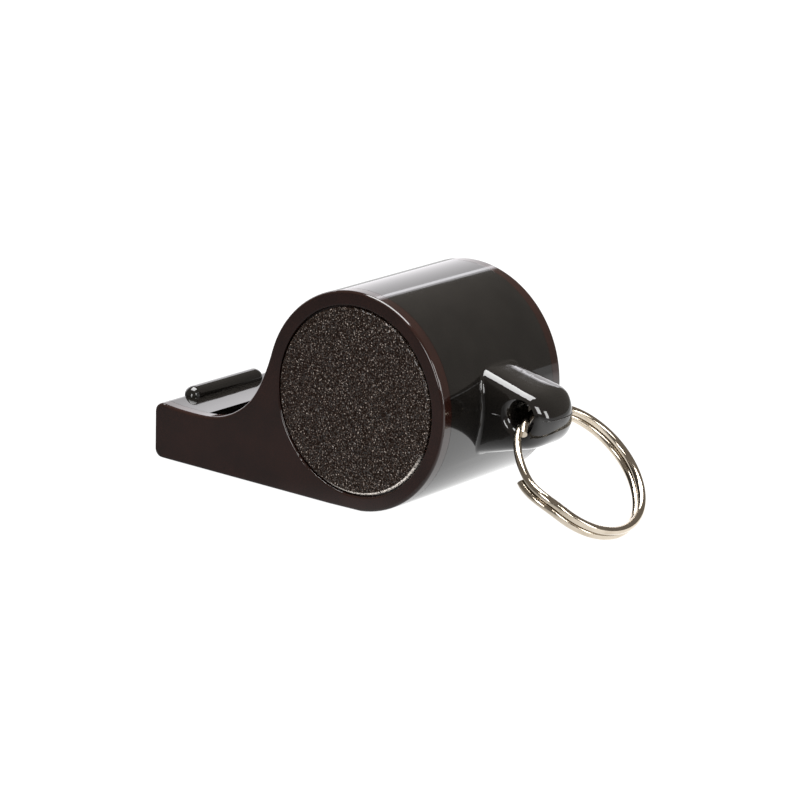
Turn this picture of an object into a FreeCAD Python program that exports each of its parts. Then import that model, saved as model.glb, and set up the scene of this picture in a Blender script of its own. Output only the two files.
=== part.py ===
import FreeCAD, Part
import math
import os

# Training whistle: a moulded open-ended body with a mouthpiece and a lug, closed by a welded
# side plate at each end of the barrel. Each plate carries a textured inlay disc. A cork pea
# runs round inside the barrel, and a split ring hangs through the lug.
#
# Frame, in millimetres: +Z up, Y along the barrel's axis, the mouthpiece towards -X and the
# lug towards +X. The origin is on the flat underside, below the barrel's axis, at mid width.

V = FreeCAD.Vector

# ---- driving dimensions -------------------------------------------------------------------
BARREL_R = 11.5            # outside of the barrel
CHAMBER_R = 10.1           # inside of the barrel
FLAT_DEPTH = 0.05          # the flat underside shaves this much off the barrel
FLAT_END_X = -3.0          # the underside is flat as far as here, then rises to the mouth end
UNDERSIDE_RISE = 1.16      # slope of that rise, in degrees
AXIS_Z = BARREL_R - FLAT_DEPTH
WIDTH = 20.0               # over both side plates
PLATE_T = 1.4              # one side plate
PLATE_EDGE_R = 0.3         # rounding of a plate's outer rim
SEAM_CHAMFER = 0.04        # small bevel that leaves a fine line between plate and body

MOUTH_X = -26.8            # the mouth end of the whistle
MOUTH_FOOT_R = 0.95        # lower corner of the mouth end
LIP_R = 1.0                # upper corner of the mouth end
LIP_Z = 5.45               # height of that corner's centre
LIP_OVERRUN = 8.7          # degrees that the corner runs on past level, down into the saddle
LEAVE_ANGLE = 163.0        # where the top line leaves the barrel, in degrees from +X

WINDWAY_W = 14.0           # width of the air passage
WINDWAY_FLOOR_Z = 2.8      # at the mouth end
WINDWAY_ROOF_Z = 5.0
WINDOW_FLOOR_Z = 4.0       # the window is cut down to here over the body's whole width
WINDOW_X0 = -20.4          # roof edge of the window
WINDOW_X1 = -16.6          # blade edge of the window
BLADE_Z = 5.45             # upper corner of the blade
BLADE_T = 0.3              # blunt edge of the blade

RIDGE_R = 1.0              # bite ridge on the roof: a half-round bar with domed ends
RIDGE_X = -25.7
RIDGE_Z = 6.4
RIDGE_HALF = 4.9           # half the distance between the centres of its domed ends

DISC_R = 9.75              # textured inlay
DISC_T = 0.6
DISC_EDGE_R = 0.25
RECESS_R = 9.92            # recess that holds the inlay
RECESS_DEPTH = 0.55
RECESS_EDGE_R = 0.22
SPIGOT_R = 10.0            # ring under a plate that plugs into the barrel
SPIGOT_WALL = 0.9
SPIGOT_L = 0.8

LUG_X0 = 9.0               # buried root of the lug, inside the barrel's wall
LUG_NOSE_X = 15.9          # centre of the rounded nose
LUG_Z = 10.95              # mid height of the lug
LUG_HALF_W = 3.5
LUG_NOSE_R = 3.1           # half height at the nose
LUG_TAPER = 15.0           # slope of its top and underside towards the nose, in degrees
LUG_SQUARENESS = 4.6       # power of the superellipse across the lug
LUG_TIP_POWER = 2.2        # the same at the tip of its nose
LUG_FILLET = 0.35
EYE_X = 16.1               # hole for the ring, along Y
EYE_Z = 11.5
EYE_R = 1.5
EYE_MOUTH_R = 0.85         # rounding of the hole's two mouths

PEA_R = 4.8
PEA_GAP = 0.3              # pea to chamber wall

WIRE_R = 0.43              # split ring wire
RING_R = 7.48              # mean radius of the split ring
RING_PITCH = 0.92          # axial distance between its two turns
RING_DROP = 45.0           # degrees that the ring hangs below level, out from the lug
RING_START = -101.0        # where the wire starts, in degrees round the ring
RING_LENGTH = 684.0        # how far it winds, a little short of two turns
RING_RAMP = 40.0           # stretch over which the wire moves up by one layer, in degrees
OVERLAP = 0.2              # how far joined pieces reach into each other, and cuts reach past

BODY_HALF = WIDTH / 2.0 - PLATE_T

# The top line from the lip to the barrel: it dips along the roof, then sweeps up.
SADDLE = [(-21.8, 6.15), (-18.3, 6.40), (-15.35, 7.68), (-13.05, 10.0), (-11.85, 12.4)]


# ---- helpers ------------------------------------------------------------------------------
def on_circle(x, z, radius, angle):
    a = math.radians(angle)
    return V(x + radius * math.cos(a), 0, z + radius * math.sin(a))


def arc(x, z, radius, start, middle, end):
    """An arc in the XZ plane through three angles about a centre."""
    points = [on_circle(x, z, radius, angle) for angle in (start, middle, end)]
    return Part.Arc(*points).toShape()


def line(a, b):
    return Part.LineSegment(a, b).toShape()


def polygon_prism(points, half_width):
    """A prism along Y, from -half_width to +half_width, over points in the XZ plane."""
    corners = [V(x, -half_width, z) for x, z in points]
    wire = Part.makePolygon(corners + corners[:1])
    return Part.Face(wire).extrude(V(0, 2 * half_width, 0))


def cylinder_y(x, z, radius, y0, y1):
    return Part.makeCylinder(radius, y1 - y0, V(x, y0, z), V(0, 1, 0))


def mirrored(shape):
    """The same shape on the other side of the mid plane."""
    return shape.mirror(V(0, 0, 0), V(0, 1, 0))


# ---- outline ------------------------------------------------------------------------------
def outline():
    """The side view of the whistle without its lug, as a closed wire in the XZ plane."""
    rise_angle = math.radians(UNDERSIDE_RISE)
    foot_x = MOUTH_X + MOUTH_FOOT_R
    sole_x = foot_x - MOUTH_FOOT_R * math.sin(rise_angle)
    sole_z = (FLAT_END_X - sole_x) * math.tan(rise_angle)
    foot_z = sole_z + MOUTH_FOOT_R * math.cos(rise_angle)
    lip_x = MOUTH_X + LIP_R
    lip_end = 90.0 - LIP_OVERRUN
    lip_stop = on_circle(lip_x, LIP_Z, LIP_R, lip_end)
    leave = on_circle(0, AXIS_Z, BARREL_R, LEAVE_ANGLE)
    slope = math.radians(LIP_OVERRUN)
    rise = math.radians(LEAVE_ANGLE)
    flat_end = math.degrees(math.acos(AXIS_Z / BARREL_R)) - 90.0
    flat_x = BARREL_R * math.cos(math.radians(flat_end))

    saddle = Part.BSplineCurve()
    points = [lip_stop] + [V(x, 0, z) for x, z in SADDLE] + [leave]
    saddle.interpolate(Points=points,
                       InitialTangent=V(math.cos(slope), 0, -math.sin(slope)),
                       FinalTangent=V(math.sin(rise), 0, -math.cos(rise)))

    edges = [
        line(V(flat_x, 0, 0), V(FLAT_END_X, 0, 0)),
        line(V(FLAT_END_X, 0, 0), V(sole_x, 0, sole_z)),
        arc(foot_x, foot_z, MOUTH_FOOT_R, 270 - UNDERSIDE_RISE, 225, 180),
        line(V(MOUTH_X, 0, foot_z), V(MOUTH_X, 0, LIP_Z)),
        arc(lip_x, LIP_Z, LIP_R, 180, 135, lip_end),
        saddle.toShape(),
        arc(0, AXIS_Z, BARREL_R, LEAVE_ANGLE, 35, flat_end),
    ]
    return Part.Wire(Part.__sortEdges__(edges))


def slab(y0, y1):
    """The outline, solid, from y0 to y1."""
    face = Part.Face(outline())
    face.translate(V(0, y0, 0))
    return face.extrude(V(0, y1 - y0, 0))


def rim_edges(shape, y, tolerance=1e-4):
    """The edges of a shape that lie in the plane at y."""
    found = []
    for edge in shape.Edges:
        box = edge.BoundBox
        if abs(box.YMin - y) < tolerance and abs(box.YMax - y) < tolerance:
            found.append(edge)
    return found


# ---- body ---------------------------------------------------------------------------------
def lug_section(x):
    """Half width, half height and squareness of the lug's cross-section at x."""
    taper = math.radians(LUG_TAPER)
    join_x = LUG_NOSE_X + LUG_NOSE_R * math.sin(taper)
    if x <= join_x:
        half_h = LUG_NOSE_R * math.cos(taper) + (join_x - x) * math.tan(taper)
        return LUG_HALF_W, half_h, LUG_SQUARENESS
    forward = (x - join_x) / (LUG_NOSE_X + LUG_NOSE_R - join_x)
    half_w = LUG_HALF_W * (1.0 - forward ** 2) ** 0.42
    half_h = math.sqrt(LUG_NOSE_R ** 2 - (x - LUG_NOSE_X) ** 2)
    return half_w, half_h, LUG_SQUARENESS - (LUG_SQUARENESS - LUG_TIP_POWER) * forward


def lug_wire(x):
    """A closed superellipse across the lug."""
    half_w, half_h, power = lug_section(x)
    points = []
    steps = 48
    for i in range(steps):
        a = 2 * math.pi * (i + 0.5) / steps
        c = math.cos(a)
        s = math.sin(a)
        scale = (abs(c) ** power + abs(s) ** power) ** (-1.0 / power)
        points.append(V(x, half_w * c * scale, LUG_Z + half_h * s * scale))
    curve = Part.BSplineCurve()
    curve.interpolate(Points=points, PeriodicFlag=True)
    return Part.Wire(curve.toShape())


def lug():
    """The lug: a flat-sided arm that tapers to a rounded nose, lofted at even steps."""
    shank_steps = 6
    nose_steps = 7
    shank = (LUG_NOSE_X - LUG_X0) / shank_steps
    places = [LUG_X0 + shank * i for i in range(shank_steps)]
    quarter = math.pi / 2
    places += [LUG_NOSE_X + LUG_NOSE_R * math.sin(quarter * i / nose_steps) for i in range(nose_steps)]
    tip = Part.Vertex(V(LUG_NOSE_X + LUG_NOSE_R, 0, LUG_Z))
    return Part.makeLoft([lug_wire(x) for x in places] + [tip], True, False)


def eye():
    """The hole through the lug with its two rounded mouths, as a solid to cut away."""
    throat = LUG_HALF_W - EYE_MOUTH_R
    mouth = EYE_R + EYE_MOUTH_R
    far = LUG_HALF_W + 1.0
    reach = EYE_MOUTH_R * math.sqrt(0.5)
    lower = Part.Arc(V(mouth, -LUG_HALF_W, 0), V(mouth - reach, -throat - reach, 0),
                     V(EYE_R, -throat, 0)).toShape()
    upper = Part.Arc(V(EYE_R, throat, 0), V(mouth - reach, throat + reach, 0),
                     V(mouth, LUG_HALF_W, 0)).toShape()
    edges = [
        line(V(0, -far, 0), V(mouth, -far, 0)),
        line(V(mouth, -far, 0), V(mouth, -LUG_HALF_W, 0)),
        lower,
        line(V(EYE_R, -throat, 0), V(EYE_R, throat, 0)),
        upper,
        line(V(mouth, LUG_HALF_W, 0), V(mouth, far, 0)),
        line(V(mouth, far, 0), V(0, far, 0)),
        line(V(0, far, 0), V(0, -far, 0)),
    ]
    solid = Part.Face(Part.Wire(edges)).revolve(V(0, 0, 0), V(0, 1, 0), 360)
    solid.translate(V(EYE_X, 0, EYE_Z))
    return solid


def air_passage():
    """Windway from the mouth end, under the window and the blade, into the chamber."""
    blade_under = BLADE_Z - BLADE_T
    into_roof = (-9.0, 7.7)
    into_floor = (-6.0, 3.1)
    under_window = (-18.5, 3.4)
    points = [(MOUTH_X - OVERLAP, WINDWAY_FLOOR_Z), (MOUTH_X - OVERLAP, WINDWAY_ROOF_Z),
              (WINDOW_X1, blade_under), into_roof, into_floor, under_window]
    return polygon_prism(points, WINDWAY_W / 2.0)


def window():
    """The slot in the roof, and the scooped ramp that rises from the blade to the barrel."""
    ramp_middle = V(-13.9, 0, 8.2)
    ramp_end = V(-12.0, 0, 12.0)
    blade = V(WINDOW_X1, 0, BLADE_Z)
    edges = [
        line(V(WINDOW_X0, 0, WINDOW_FLOOR_Z), V(WINDOW_X0, 0, ramp_end.z)),
        line(V(WINDOW_X0, 0, ramp_end.z), ramp_end),
        Part.Arc(ramp_end, ramp_middle, blade).toShape(),
        line(blade, V(WINDOW_X1, 0, WINDOW_FLOOR_Z)),
        line(V(WINDOW_X1, 0, WINDOW_FLOOR_Z), V(WINDOW_X0, 0, WINDOW_FLOOR_Z)),
    ]
    face = Part.Face(Part.Wire(edges))
    face.translate(V(0, -BODY_HALF, 0))
    return face.extrude(V(0, 2 * BODY_HALF, 0))


def bite_ridge():
    """The half-round bar across the roof that the teeth hold behind."""
    bar = cylinder_y(RIDGE_X, RIDGE_Z, RIDGE_R, -RIDGE_HALF, RIDGE_HALF)
    for side in (-1, 1):
        bar = bar.fuse(Part.makeSphere(RIDGE_R, V(RIDGE_X, side * RIDGE_HALF, RIDGE_Z)))
    keep = Part.makeBox(4, WIDTH, 4, V(RIDGE_X - 2, -WIDTH / 2.0, RIDGE_Z - 0.6))
    return bar.common(keep)


def whistle_body():
    shell = slab(-BODY_HALF, BODY_HALF)
    arm = lug()
    shell = shell.fuse(arm).removeSplitter()
    root = []
    reach = LUG_HALF_W + OVERLAP
    for edge in shell.Edges:
        box = edge.BoundBox
        on_barrel = box.XMin > LUG_X0 and box.XMax < BARREL_R + OVERLAP
        if on_barrel and box.YMin > -reach and box.YMax < reach:
            root.append(edge)
    shell = shell.makeFillet(LUG_FILLET, root)
    shell = shell.cut(cylinder_y(0, AXIS_Z, CHAMBER_R, -BODY_HALF, BODY_HALF))
    shell = shell.cut(air_passage())
    shell = shell.cut(window())
    shell = shell.fuse(bite_ridge())
    shell = shell.cut(eye())
    return shell.removeSplitter()


# ---- side plates and inlays ---------------------------------------------------------------
def right_side_plate():
    """The plate at -Y, with a recess outside and a locating ring inside."""
    outside = -WIDTH / 2.0
    inside = -BODY_HALF
    plate = slab(outside, inside)
    plate = plate.makeFillet(PLATE_EDGE_R, rim_edges(plate, outside))
    plate = plate.makeChamfer(SEAM_CHAMFER, rim_edges(plate, inside))
    recess = cylinder_y(0, AXIS_Z, RECESS_R, outside - 1, outside + RECESS_DEPTH)
    plate = plate.cut(recess)
    mouth = [e for e in rim_edges(plate, outside) if abs(e.BoundBox.XLength - 2 * RECESS_R) < 0.01]
    plate = plate.makeFillet(RECESS_EDGE_R, mouth)
    ring = cylinder_y(0, AXIS_Z, SPIGOT_R, inside - OVERLAP, inside + SPIGOT_L)
    ring = ring.cut(cylinder_y(0, AXIS_Z, SPIGOT_R - SPIGOT_WALL, inside - 1, inside + 2))
    return plate.fuse(ring).removeSplitter()


def right_inlay_disc():
    """The textured disc in the recess at -Y, a little proud of the plate."""
    floor = -WIDTH / 2.0 + RECESS_DEPTH
    disc = cylinder_y(0, AXIS_Z, DISC_R, floor - DISC_T, floor)
    return disc.makeFillet(DISC_EDGE_R, rim_edges(disc, floor - DISC_T))


# ---- pea and ring -------------------------------------------------------------------------
def cork_pea():
    """The cork ball, at rest at the bottom of the chamber."""
    orbit = CHAMBER_R - PEA_GAP - PEA_R
    return Part.makeSphere(PEA_R, V(0, 0, AXIS_Z - orbit))


def ring_layer(angle):
    """Axial place of the wire, where angle runs from 0 along its two turns.

    Each turn starts with a ramp, so the first end stands one layer outside the two turns.
    """
    turn = min(int(angle // 360), 1)
    part = angle - 360 * turn
    share = 1.0
    if part < RING_RAMP:
        share = 0.5 * (1 - math.cos(math.pi * part / RING_RAMP))
    return RING_PITCH * (turn - 1.5 + share)


def ring_point(angle):
    a = math.radians(angle)
    return V(RING_R * math.cos(a), RING_R * math.sin(a), ring_layer(angle))


def ring_ramp(start, end):
    """A stretch of wire that changes its layer, swept along a smooth curve."""
    steps = 12
    points = [ring_point(start + (end - start) * i / steps) for i in range(steps + 1)]
    curve = Part.BSplineCurve()
    tangents = []
    for angle in (start, end):
        a = math.radians(angle)
        tangents.append(V(-math.sin(a), math.cos(a), 0))
    curve.interpolate(Points=points, InitialTangent=tangents[0], FinalTangent=tangents[1])
    path = Part.Wire(curve.toShape())
    profile = Part.Wire(Part.makeCircle(WIRE_R, points[0], tangents[0]))
    return path.makePipeShell([profile], True, True)


def ring_flat(start, end):
    """A stretch of wire that stays in one layer: part of a torus."""
    torus = Part.makeTorus(RING_R, WIRE_R, V(0, 0, 0), V(0, 0, 1), 0, 360, end - start)
    torus.rotate(V(0, 0, 0), V(0, 0, 1), start)
    torus.translate(V(0, 0, ring_layer((start + end) / 2.0)))
    return torus


def split_ring():
    """Nearly two turns of round wire, hung through the eye of the lug."""
    ring = ring_ramp(0, RING_RAMP)
    pieces = [
        ring_flat(RING_RAMP, 360),
        ring_ramp(360, 360 + RING_RAMP),
        ring_flat(360 + RING_RAMP, RING_LENGTH),
    ]
    for piece in pieces:
        ring = ring.fuse(piece)
    ring.rotate(V(0, 0, 0), V(0, 0, 1), RING_START)
    ring.rotate(V(0, 0, 0), V(0, 1, 0), RING_DROP)
    drop = math.radians(RING_DROP)
    ring.translate(V(EYE_X + RING_R * math.cos(drop), 0, EYE_Z - RING_R * math.sin(drop)))
    return ring


# ---- files --------------------------------------------------------------------------------
def main():
    plate = right_side_plate()
    disc = right_inlay_disc()
    nodes = {
        "whistle_body": whistle_body(),
        "right_side_plate": plate,
        "left_side_plate": mirrored(plate),
        "right_inlay_disc": disc,
        "left_inlay_disc": mirrored(disc),
        "cork_pea": cork_pea(),
        "split_ring": split_ring(),
    }
    os.makedirs("parts", exist_ok=True)
    for name, shape in nodes.items():
        solids = shape.Solids
        box = shape.BoundBox
        print(name, "solids", len(solids), "valid", shape.isValid(), "volume", round(shape.Volume, 2),
              "z", round(box.ZMin, 3), round(box.ZMax, 3))
        shape.exportStep("parts/" + name + ".step")


main()
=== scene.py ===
import math
import random

import bmesh
import bpy
from mathutils import Matrix, Vector, geometry, noise


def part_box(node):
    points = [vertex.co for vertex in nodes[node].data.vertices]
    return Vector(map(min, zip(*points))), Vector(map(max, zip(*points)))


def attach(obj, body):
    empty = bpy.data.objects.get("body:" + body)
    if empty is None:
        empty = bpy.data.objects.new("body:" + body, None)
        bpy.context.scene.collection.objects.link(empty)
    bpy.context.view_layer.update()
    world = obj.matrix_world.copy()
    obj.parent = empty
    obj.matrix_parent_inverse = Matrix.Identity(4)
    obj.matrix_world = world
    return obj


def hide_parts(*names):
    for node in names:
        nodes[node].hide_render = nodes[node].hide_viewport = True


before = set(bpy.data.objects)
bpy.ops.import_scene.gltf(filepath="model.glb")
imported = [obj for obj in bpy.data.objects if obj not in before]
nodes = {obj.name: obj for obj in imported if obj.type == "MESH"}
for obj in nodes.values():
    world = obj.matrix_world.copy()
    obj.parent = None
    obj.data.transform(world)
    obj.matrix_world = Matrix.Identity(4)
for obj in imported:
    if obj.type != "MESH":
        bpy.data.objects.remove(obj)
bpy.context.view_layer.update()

# A training whistle on a pale table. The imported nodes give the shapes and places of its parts.
# The inlay discs and the cork pea are rebuilt here with the relief of their surfaces, and a
# fine mould line is added round the lug. All lengths on the object are in metres.

MM = 0.001

# ---- camera -------------------------------------------------------------------------------
CAMERA_AZIMUTH = 37.53     # degrees, from the side of the near plate towards the lug
CAMERA_ELEVATION = 14.97
CAMERA_ROLL = 1.40
CAMERA_DISTANCE = 0.4453
CAMERA_LENS = 193.64       # on a sensor 36 mm wide
CAMERA_PIVOT = Vector((0.0, 0.0, 0.0115))
CAMERA_AIM = Vector((-0.00083, -0.00123, 0.00973))


def make_camera():
    a = math.radians(CAMERA_AZIMUTH)
    e = math.radians(CAMERA_ELEVATION)
    back = Vector((math.sin(a) * math.cos(e), -math.cos(a) * math.cos(e), math.sin(e)))
    data = bpy.data.cameras.new("camera")
    data.lens = CAMERA_LENS
    data.sensor_width = 36.0
    data.clip_start = 0.01
    data.clip_end = 20.0
    camera = bpy.data.objects.new("camera", data)
    camera.location = CAMERA_PIVOT + back * CAMERA_DISTANCE
    look = (CAMERA_AIM - camera.location).to_track_quat("-Z", "Y").to_matrix().to_4x4()
    roll = Matrix.Rotation(math.radians(CAMERA_ROLL), 4, "Z")
    camera.rotation_euler = (look @ roll).to_euler()
    bpy.context.scene.collection.objects.link(camera)
    bpy.context.scene.camera = camera


# ---- floor and light ----------------------------------------------------------------------
# These were all chosen by trial, for how the whistle looks on a bright table. They don't
# describe a real studio.
FLOOR_HALF = 3.0
FLOOR_DROP = 0.02 * MM         # gap under the object
FLOOR_ALBEDO = 0.5
FLOOR_WHITE = 0.93             # how far the camera sees the floor as evenly lit white
FLOOR_WHITE_LEVEL = 1.08       # brightness of that white
GLOW_LEFT = 0.30               # the lit table top as the object mirrors it, on its left
GLOW_RIGHT = 2.0               # and on its right
GLOW_HEADING = 60.0            # the way that it brightens, in degrees from +X towards +Y
GLOW_CHANGE = 0.04             # length over which it does
GLOW_REACH = 0.16              # how far round the object the table top is lit
GLOW_CORE = 0.25               # share of that reach where it is lit fully
GLOW_REST = 0.4                # share of the light that is left beyond the reach
FILL = (1.6, 1.6, 1.6)         # what matt surfaces gather from the room
SURROUNDINGS = (0.30, 0.275, 0.25)  # what glossy surfaces mirror where there is no soft box
BACKDROP = (1.0, 1.0, 1.0)


def mix_shaders(tree, share, first, second):
    """All of the first shader at a share of 0, and of the second at 1."""
    mix = tree.nodes.new("ShaderNodeMixShader")
    if isinstance(share, float):
        mix.inputs["Fac"].default_value = share
    else:
        tree.links.new(share, mix.inputs["Fac"])
    tree.links.new(first, mix.inputs[1])
    tree.links.new(second, mix.inputs[2])
    return mix.outputs["Shader"]


def make_floor():
    bpy.ops.mesh.primitive_grid_add(x_subdivisions=2, y_subdivisions=2, size=2 * FLOOR_HALF)
    floor = bpy.context.object
    floor.name = "floor"
    floor.location.z = -FLOOR_DROP
    floor.data.materials.append(pale_floor())


def make_world():
    """An even fill for matt surfaces, dim warm surroundings in mirrors, and a white backdrop."""
    world = bpy.data.worlds.new("studio")
    bpy.context.scene.world = world
    world.use_nodes = True
    tree = world.node_tree
    tree.nodes.clear()
    shades = []
    for colour in (SURROUNDINGS, FILL, BACKDROP):
        shade = tree.nodes.new("ShaderNodeBackground")
        shade.inputs["Color"].default_value = (*colour, 1.0)
        shades.append(shade.outputs["Background"])
    path = tree.nodes.new("ShaderNodeLightPath")
    seen = shades[0]
    for ray, shade in (("Is Diffuse Ray", shades[1]), ("Is Camera Ray", shades[2])):
        seen = mix_shaders(tree, path.outputs[ray], seen, shade)
    output = tree.nodes.new("ShaderNodeOutputWorld")
    tree.links.new(seen, output.inputs["Surface"])


def softbox(name, heading, elevation, distance, width, height, radiance,
            tint=(1.0, 1.0, 1.0), upright=False):
    """A soft box that faces the object. Heading is in degrees from +X towards +Y."""
    h = math.radians(heading)
    e = math.radians(elevation)
    away = Vector((math.cos(h) * math.cos(e), math.sin(h) * math.cos(e), math.sin(e)))
    facing = Vector((-away.x, -away.y, 0.0)) if upright else -away
    light = bpy.data.lights.new(name, "AREA")
    light.shape = "RECTANGLE"
    light.size = width
    light.size_y = height
    light.energy = radiance * math.pi * width * height
    light.color = tint
    box = bpy.data.objects.new(name, light)
    box.location = CAMERA_PIVOT + away * distance
    box.rotation_euler = facing.to_track_quat("-Z", "Y").to_euler()
    box.visible_camera = False
    bpy.context.scene.collection.objects.link(box)


LILAC = (0.965, 0.955, 1.0)


def make_lights():
    softbox("top_box", 180.0, 84.0, 0.9, 0.75, 0.75, 14.0)
    softbox("back_left_wall", 140.0, 17.8, 0.95, 1.26, 0.58, 1.7, LILAC, upright=True)
    softbox("back_left_strip", 140.0, 30.0, 1.02, 1.24, 0.05, 2.4, LILAC, upright=True)
    softbox("front_box", -82.0, 9.0, 0.8, 0.18, 0.34, 12.0)
    softbox("right_box", -20.0, 22.0, 0.9, 0.26, 0.40, 12.0)
    softbox("far_right_box", 9.0, 10.0, 0.9, 0.16, 0.34, 12.0)


# ---- materials ----------------------------------------------------------------------------
INLAY_CENTRE_Z = 11.45 * MM    # height of the inlay's centre
RIM_HIGHLIGHT_FROM = 9.50 * MM          # radius where the painted highlight on its rim begins
RIM_HIGHLIGHT_RISE = 0.06 * MM          # width over which it becomes fully pale
RIM_HIGHLIGHT_MIDDLE = -68.0            # middle of the arc, in degrees from +X towards +Z
RIM_HIGHLIGHT_ENDS = (0.72, 0.92)       # cosines from that middle where it begins and is full
RIM_HIGHLIGHT_BREAKS = (0.38, 0.50)     # levels of the grain's noise that interrupt it
NOISE_MIDDLE = (0.3, 0.7)      # levels that hold most of a noise


class Recipe:
    """A node material around one Principled shader, with short calls for its parts."""

    def __init__(self, name):
        self.material = bpy.data.materials.new(name)
        self.material.use_nodes = True
        self.tree = self.material.node_tree
        self.shader = self.tree.nodes["Principled BSDF"]
        self.place = self.tree.nodes.new("ShaderNodeTexCoord").outputs["Object"]

    def set(self, **values):
        for name, value in values.items():
            self.shader.inputs[name.replace("_", " ")].default_value = value

    def link(self, start, end):
        self.tree.links.new(start, end)

    def noise(self, feature, detail=2.0, stretch=None):
        """Noise whose lumps are about feature metres across."""
        node = self.tree.nodes.new("ShaderNodeTexNoise")
        node.inputs["Scale"].default_value = 1.0 / feature
        node.inputs["Detail"].default_value = detail
        place = self.place
        if stretch:
            mapping = self.tree.nodes.new("ShaderNodeMapping")
            mapping.inputs["Scale"].default_value = stretch
            self.link(self.place, mapping.inputs["Vector"])
            place = mapping.outputs["Vector"]
        self.link(place, node.inputs["Vector"])
        return node.outputs["Fac"]

    def cells(self, feature):
        """Distance from the nearest of the scattered points, about feature metres apart."""
        node = self.tree.nodes.new("ShaderNodeTexVoronoi")
        node.inputs["Scale"].default_value = 1.0 / feature
        self.link(self.place, node.inputs["Vector"])
        return node.outputs["Distance"]

    def colours(self, source, stops):
        ramp = self.tree.nodes.new("ShaderNodeValToRGB")
        elements = ramp.color_ramp.elements
        while len(elements) < len(stops):
            elements.new(0.5)
        for element, (place, colour) in zip(elements, stops):
            element.position = place
            element.color = (*colour, 1.0)
        self.link(source, ramp.inputs["Fac"])
        return ramp.outputs["Color"]

    def spread(self, source, low, high):
        """Maps the middle of a noise to the range from low to high."""
        return self.remap(source, *NOISE_MIDDLE, low, high)

    def bump(self, source, depth, strength):
        node = self.tree.nodes.new("ShaderNodeBump")
        node.inputs["Distance"].default_value = depth
        node.inputs["Strength"].default_value = strength
        self.link(source, node.inputs["Height"])
        return node.outputs["Normal"]

    def remap(self, source, start, end, low=0.0, high=1.0, smooth=False):
        """Goes from low to high as the source goes from start to end."""
        node = self.tree.nodes.new("ShaderNodeMapRange")
        if smooth:
            node.interpolation_type = "SMOOTHSTEP"
        node.inputs["From Min"].default_value = start
        node.inputs["From Max"].default_value = end
        node.inputs["To Min"].default_value = low
        node.inputs["To Max"].default_value = high
        self.link(source, node.inputs["Value"])
        return node.outputs["Result"]

    def times(self, a, b):
        node = self.tree.nodes.new("ShaderNodeMath")
        node.operation = "MULTIPLY"
        self.link(a, node.inputs[0])
        self.link(b, node.inputs[1])
        return node.outputs["Value"]

    def over(self, share, under, colour):
        """A plain colour laid over another, by share."""
        node = self.tree.nodes.new("ShaderNodeMixRGB")
        self.link(share, node.inputs["Fac"])
        self.link(under, node.inputs["Color1"])
        node.inputs["Color2"].default_value = (*colour, 1.0)
        return node.outputs["Color"]

    def vector(self, operation, source, constant=(0.0, 0.0, 0.0)):
        """Vector arithmetic. A length and a dot product come out as a number."""
        node = self.tree.nodes.new("ShaderNodeVectorMath")
        node.operation = operation
        self.link(source, node.inputs[0])
        node.inputs[1].default_value = constant
        return node.outputs["Value" if operation in ("LENGTH", "DOT_PRODUCT") else "Vector"]

    def emission(self, strength):
        """A glow whose strength is a number or another node's output."""
        node = self.tree.nodes.new("ShaderNodeEmission")
        if isinstance(strength, float):
            node.inputs["Strength"].default_value = strength
        else:
            self.link(strength, node.inputs["Strength"])
        return node.outputs["Emission"]

    def painted_rim_highlight(self, breaks):
        """A painted highlight: a broken pale arc on the lower part of the inlay's rim, painted in
        place on the object. Whether the real one is a bare cut edge or a reflection is not known.
        """
        from_centre = self.vector("SUBTRACT", self.place, (0.0, 0.0, INLAY_CENTRE_Z))
        flat = self.vector("MULTIPLY", from_centre, (1.0, 0.0, 1.0))
        middle = math.radians(RIM_HIGHLIGHT_MIDDLE)
        toward = self.vector("DOT_PRODUCT", flat, (math.cos(middle), 0.0, math.sin(middle)))
        edge = self.remap(self.vector("LENGTH", flat), RIM_HIGHLIGHT_FROM, RIM_HIGHLIGHT_FROM + RIM_HIGHLIGHT_RISE)
        arc = self.remap(toward, RIM_HIGHLIGHT_ENDS[0] * RIM_HIGHLIGHT_FROM, RIM_HIGHLIGHT_ENDS[1] * RIM_HIGHLIGHT_FROM)
        return self.times(self.times(edge, arc), self.remap(breaks, *RIM_HIGHLIGHT_BREAKS))

    def into(self, name, source):
        self.link(source, self.shader.inputs[name])


def pale_floor():
    """The camera sees almost even white, with hardly a shadow. Everything else sees a glow.

    The object mirrors that glow, which is brighter on its right.
    """
    r = Recipe("pale_floor")
    r.set(Base_Color=(FLOOR_ALBEDO, FLOOR_ALBEDO, FLOOR_ALBEDO, 1.0))
    r.set(Roughness=0.9, Specular_IOR_Level=0.1)
    heading = math.radians(GLOW_HEADING)
    along = r.vector("DOT_PRODUCT", r.place, (math.cos(heading), math.sin(heading), 0.0))
    level = r.remap(along, -GLOW_CHANGE / 2, GLOW_CHANGE / 2, GLOW_LEFT, GLOW_RIGHT, smooth=True)
    away = r.vector("LENGTH", r.place)
    fade = r.remap(away, GLOW_CORE * GLOW_REACH, GLOW_REACH, 1.0, GLOW_REST)
    glow = r.emission(r.times(level, fade))
    white = r.emission(FLOOR_WHITE_LEVEL)
    seen = mix_shaders(r.tree, FLOOR_WHITE, r.shader.outputs["BSDF"], white)
    path = r.tree.nodes.new("ShaderNodeLightPath")
    surface = mix_shaders(r.tree, path.outputs["Is Camera Ray"], glow, seen)
    r.link(surface, r.tree.nodes["Material Output"].inputs["Surface"])
    return r.material


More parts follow.
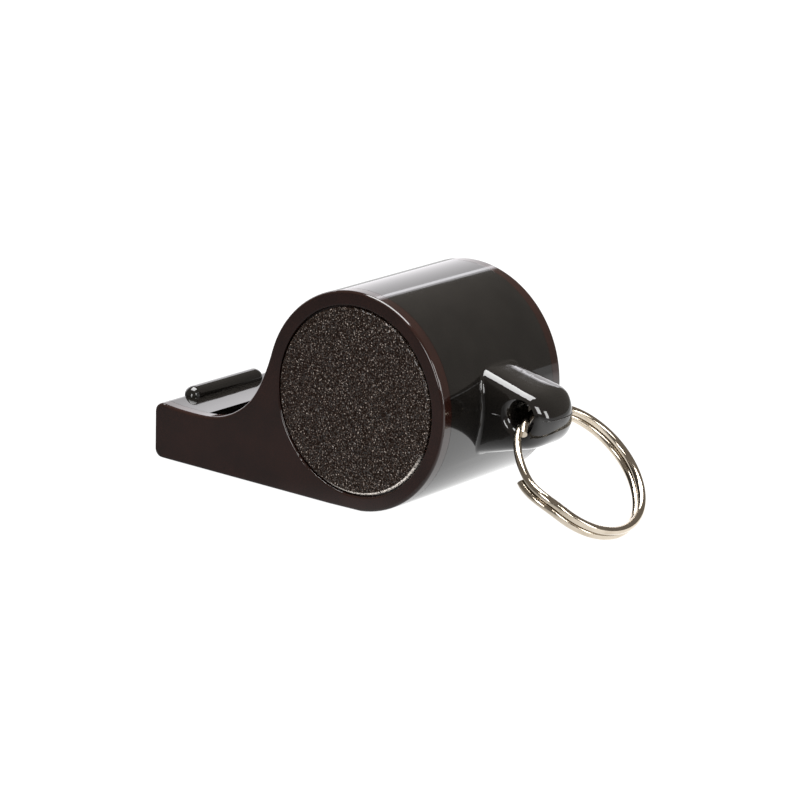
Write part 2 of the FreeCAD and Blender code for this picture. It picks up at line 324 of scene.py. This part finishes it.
def body_plastic():
    """Polished black moulding with a slightly olive cast and uneven polish along the barrel."""
    r = Recipe("body_plastic")
    mottle = r.noise(4.0 * MM, 3.0)
    blacks = [(0.35, (0.0032, 0.0028, 0.0024)), (0.65, (0.0048, 0.0042, 0.0036))]
    r.into("Base Color", r.colours(mottle, blacks))
    polish = r.noise(1.5 * MM, 4.0, (1.0, 0.25, 1.0))
    r.into("Roughness", r.spread(polish, 0.035, 0.075))
    ripple = r.noise(5.0 * MM, 1.0)
    r.into("Normal", r.bump(ripple, 0.004 * MM, 0.5))
    r.set(Specular_IOR_Level=0.5)
    return r.material


def plate_plastic():
    """Brown-black side plates, glossy but duller than the body."""
    r = Recipe("plate_plastic")
    mottle = r.noise(3.0 * MM, 4.0)
    browns = [(0.35, (0.0072, 0.0026, 0.0018)), (0.65, (0.0104, 0.0036, 0.0025))]
    r.into("Base Color", r.colours(mottle, browns))
    polish = r.noise(1.2 * MM, 4.0)
    r.into("Roughness", r.spread(polish, 0.06, 0.10))
    ripple = r.noise(4.0 * MM, 1.0)
    r.into("Normal", r.bump(ripple, 0.004 * MM, 0.4))
    r.set(Specular_IOR_Level=0.5)
    return r.material


def inlay():
    """Dark textured insert with fine mica-like grains. Its palest specks are painted glints, and its
    rim carries a painted highlight.
    """
    r = Recipe("inlay")
    tone = r.noise(0.15 * MM, 1.0)
    # Grain tone from dark to pale. The darker stops are the grains' own colour, and the palest stop
    # is painted glints.
    grains = r.colours(tone, [
        (0.42, (0.0056, 0.0030, 0.0020)), (0.60, (0.0165, 0.0100, 0.0072)),
        (0.67, (0.080, 0.062, 0.052)), (0.74, (0.30, 0.26, 0.23))])
    # The pale colour laid over the grains here is a painted highlight on the lower part of the
    # inlay's rim.
    r.into("Base Color", r.over(r.painted_rim_highlight(tone), grains, (0.62, 0.57, 0.52)))
    sheen = r.noise(0.30 * MM, 1.0)
    r.into("Roughness", r.spread(sheen, 0.16, 0.42))
    pores = r.noise(0.08 * MM, 2.0)
    r.into("Normal", r.bump(pores, 0.01 * MM, 0.5))
    mica = r.noise(0.16 * MM, 0.0)
    glints = [(0.50, (0.06, 0.06, 0.06)), (0.66, (0.8, 0.8, 0.8))]
    r.into("Specular IOR Level", r.colours(mica, glints))
    return r.material


def cork():
    """Ground cork: tan grains with dark specks between them."""
    r = Recipe("cork")
    grains = r.cells(0.9 * MM)
    tan = [(0.0, (0.46, 0.27, 0.13)), (0.45, (0.36, 0.19, 0.085)), (0.8, (0.13, 0.055, 0.022))]
    r.into("Base Color", r.colours(grains, tan))
    fibre = r.noise(0.35 * MM, 5.0)
    r.into("Roughness", r.spread(fibre, 0.75, 0.95))
    r.into("Normal", r.bump(fibre, 0.06 * MM, 0.8))
    r.set(Specular_IOR_Level=0.3)
    return r.material


def nickel_wire():
    """Nickel-plated spring wire, a little warm, with faint drawing marks."""
    r = Recipe("nickel_wire")
    tarnish = r.noise(1.8 * MM, 3.0)
    warm = [(0.3, (0.46, 0.41, 0.34)), (0.7, (0.36, 0.31, 0.245))]
    r.into("Base Color", r.colours(tarnish, warm))
    marks = r.noise(0.25 * MM, 4.0)
    r.into("Roughness", r.spread(marks, 0.06, 0.14))
    r.into("Normal", r.bump(marks, 0.004 * MM, 0.5))
    r.set(Metallic=1.0)
    return r.material


MATERIALS = {
    "body_plastic": body_plastic(),
    "plate_plastic": plate_plastic(),
    "inlay": inlay(),
    "cork": cork(),
    "nickel_wire": nickel_wire(),
}


# ---- pieces -------------------------------------------------------------------------------
def add_piece(name, mesh, slot, body):
    """Links a new piece, gives it the finish of a record's slot, and lets it ride on a body."""
    piece = bpy.data.objects.new(name, mesh)
    bpy.context.scene.collection.objects.link(piece)
    piece.data.materials.append(MATERIALS[slot])
    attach(piece, body)
    return piece


def dress(node, slot):
    """Gives a CAD node its finish."""
    for place in nodes[node].material_slots:
        place.material = MATERIALS[slot]


GRAIN = 0.19 * MM          # distance between the grains of the inlay
GRAIN_JITTER = 0.35        # how far a grain strays from the even grid, as a share of that
GRAIN_RELIEF = 0.030 * MM  # how far a grain stands above or below its neighbours
INLAY_EDGE = 0.25 * MM     # rounding of the inlay's rim
INLAY_EDGE_STEPS = 5
INLAY_STEPS = 240          # points round the inlay's rim


def scatter(radius, rng):
    """Jittered triangular grid of points inside a circle, with an even ring on its edge."""
    points = []
    for i in range(INLAY_STEPS):
        a = 2 * math.pi * i / INLAY_STEPS
        points.append(Vector((radius * math.cos(a), radius * math.sin(a))))
    row_step = GRAIN * math.sqrt(3) / 2
    rows = int(radius / row_step) + 1
    for row in range(-rows, rows + 1):
        for column in range(-rows, rows + 1):
            x = (column + 0.5 * (row % 2)) * GRAIN + rng.uniform(-GRAIN_JITTER, GRAIN_JITTER) * GRAIN
            y = row * row_step + rng.uniform(-GRAIN_JITTER, GRAIN_JITTER) * GRAIN
            if math.hypot(x, y) < radius - 0.5 * GRAIN:
                points.append(Vector((x, y)))
    return points


def inlay_piece(name, node, side, seed):
    """A disc with a grained face. Side is -1 at -Y and 1 at +Y."""
    rng = random.Random(seed)
    low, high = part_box(node)
    centre = (low + high) / 2
    radius = (high.x - low.x) / 2
    face_y = high.y if side > 0 else low.y
    floor_y = low.y if side > 0 else high.y
    points = scatter(radius - INLAY_EDGE, rng)
    found = geometry.delaunay_2d_cdt(points, [], [list(range(INLAY_STEPS))], 1, 1e-9)
    top_points, triangles = found[0], found[2]

    mesh = bmesh.new()
    top = []
    for index, point in enumerate(top_points):
        depth = rng.uniform(0.0, 2.0 * GRAIN_RELIEF)
        if index < INLAY_STEPS:
            depth = rng.uniform(0.0, GRAIN_RELIEF)
        top.append(mesh.verts.new((centre.x + point.x, face_y - side * depth, centre.z + point.y)))
    for triangle in triangles:
        mesh.faces.new([top[i] for i in triangle])

    ring = top[:INLAY_STEPS]
    rim = []
    for step in range(1, INLAY_EDGE_STEPS + 2):
        a = math.pi / 2 * min(step, INLAY_EDGE_STEPS) / INLAY_EDGE_STEPS
        out = radius - INLAY_EDGE * (1 - math.sin(a))
        y = face_y - side * INLAY_EDGE * (1 - math.cos(a))
        if step > INLAY_EDGE_STEPS:
            y = floor_y
        verts = []
        for i in range(INLAY_STEPS):
            t = 2 * math.pi * i / INLAY_STEPS
            grain = rng.uniform(-1.0, 0.0) * GRAIN_RELIEF if step < INLAY_EDGE_STEPS else 0.0
            r = out + grain
            verts.append(mesh.verts.new((centre.x + r * math.cos(t), y, centre.z + r * math.sin(t))))
        rim.append(verts)
    for verts in rim:
        for i in range(INLAY_STEPS):
            j = (i + 1) % INLAY_STEPS
            mesh.faces.new((ring[i], ring[j], verts[j], verts[i]))
        ring = verts
    mesh.faces.new(ring)
    bmesh.ops.recalc_face_normals(mesh, faces=mesh.faces)
    data = bpy.data.meshes.new(name)
    mesh.to_mesh(data)
    mesh.free()
    piece = add_piece(name, data, "inlay", "whistle")
    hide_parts(node)


CORK_LUMP = 0.05 * MM      # height of its broad lumps
CORK_PIT = 0.7 * MM        # depth of a pit where the noise is at its highest
CORK_SMOOTH = 0.25         # level of the noise above which the pits begin
CORK_FINE = 0.04 * MM


def cork_piece():
    """The pea, with the pits and grain that cut cork has."""
    low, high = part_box("cork_pea")
    centre = (low + high) / 2
    radius = (high.x - low.x) / 2
    mesh = bmesh.new()
    bmesh.ops.create_icosphere(mesh, subdivisions=6, radius=radius)
    for vert in mesh.verts:
        direction = vert.co.normalized()
        lump = noise.noise(direction * 4.0) * CORK_LUMP
        pitted = noise.noise(direction * 14.0 + Vector((3.0, 1.0, 5.0))) - CORK_SMOOTH
        pit = max(0.0, pitted) * CORK_PIT
        fine = abs(noise.noise(direction * 40.0)) * CORK_FINE
        vert.co = direction * (radius - CORK_LUMP + lump - pit - fine)
        vert.co += centre
    data = bpy.data.meshes.new("cork_ball")
    mesh.to_mesh(data)
    mesh.free()
    for polygon in data.polygons:
        polygon.use_smooth = True
    piece = add_piece("cork_ball", data, "cork", "pea")
    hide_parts("cork_pea")


# The lug's own dimensions, for the line round it.
LUG_HALF_W = 3.5 * MM
LUG_NOSE_X = 15.9 * MM         # centre of its rounded nose
LUG_NOSE_R = 3.1 * MM
LUG_TAPER = math.radians(15.0)
NOSE_START = LUG_NOSE_X + LUG_NOSE_R * math.sin(LUG_TAPER)
NOSE_LENGTH = LUG_NOSE_R * (1.0 - math.sin(LUG_TAPER))
NOSE_POWER = 0.84              # how squarely the line rounds the nose
NOSE_STEPS = 24                # points on each side of it
LINE_START = 11.48 * MM        # where the line leaves the barrel
LINE_Z = 11.25 * MM
LINE_RADIUS = 0.06 * MM
EYE_X = 16.1 * MM
EYE_REACH = 2.28 * MM          # how far from the eye's centre the line stops


def tube(mesh, path):
    """A thin bead along a level path, with closed ends."""
    sides = 6
    previous = None
    for index, point in enumerate(path):
        before = path[max(index - 1, 0)]
        after = path[min(index + 1, len(path) - 1)]
        along = (after - before).normalized()
        out = along.cross(Vector((0.0, 0.0, 1.0)))
        ring = []
        for i in range(sides):
            a = 2 * math.pi * i / sides
            offset = out * math.cos(a) + Vector((0.0, 0.0, math.sin(a)))
            ring.append(mesh.verts.new(point + offset * LINE_RADIUS))
        if previous:
            for i in range(sides):
                j = (i + 1) % sides
                mesh.faces.new((previous[i], previous[j], ring[j], ring[i]))
        else:
            mesh.faces.new(ring)
        previous = ring
    mesh.faces.new(previous)


def mould_line():
    """The fine parting line that the mould left round the lug, broken by the eye."""
    mesh = bmesh.new()
    for side in (-1, 1):
        y = side * LUG_HALF_W
        tube(mesh, [Vector((x, y, LINE_Z)) for x in (LINE_START, EYE_X - EYE_REACH)])
    nose = []
    start = math.asin((EYE_X + EYE_REACH - NOSE_START) / NOSE_LENGTH)
    for i in range(2 * NOSE_STEPS + 1):
        turn = math.pi / 2 - abs(1 - i / NOSE_STEPS) * (math.pi / 2 - start)
        shrink = max(0.0, math.cos(turn)) ** NOSE_POWER if i != NOSE_STEPS else 0.0
        side = -1 if i < NOSE_STEPS else 1
        x = NOSE_START + NOSE_LENGTH * math.sin(turn)
        nose.append(Vector((x, side * LUG_HALF_W * shrink, LINE_Z)))
    tube(mesh, nose)
    bmesh.ops.recalc_face_normals(mesh, faces=mesh.faces)
    data = bpy.data.meshes.new("lug_mould_line")
    mesh.to_mesh(data)
    mesh.free()
    for polygon in data.polygons:
        polygon.use_smooth = True
    add_piece("lug_mould_line", data, "body_plastic", "whistle")


def build():
    make_camera()
    make_floor()
    make_world()
    make_lights()
    dress("whistle_body", "body_plastic")
    dress("right_side_plate", "plate_plastic")
    dress("left_side_plate", "plate_plastic")
    dress("split_ring", "nickel_wire")
    inlay_piece("right_inlay", "right_inlay_disc", -1, 11)
    inlay_piece("left_inlay", "left_inlay_disc", 1, 12)
    cork_piece()
    mould_line()
    bpy.context.scene.view_settings.view_transform = "Standard"


build()
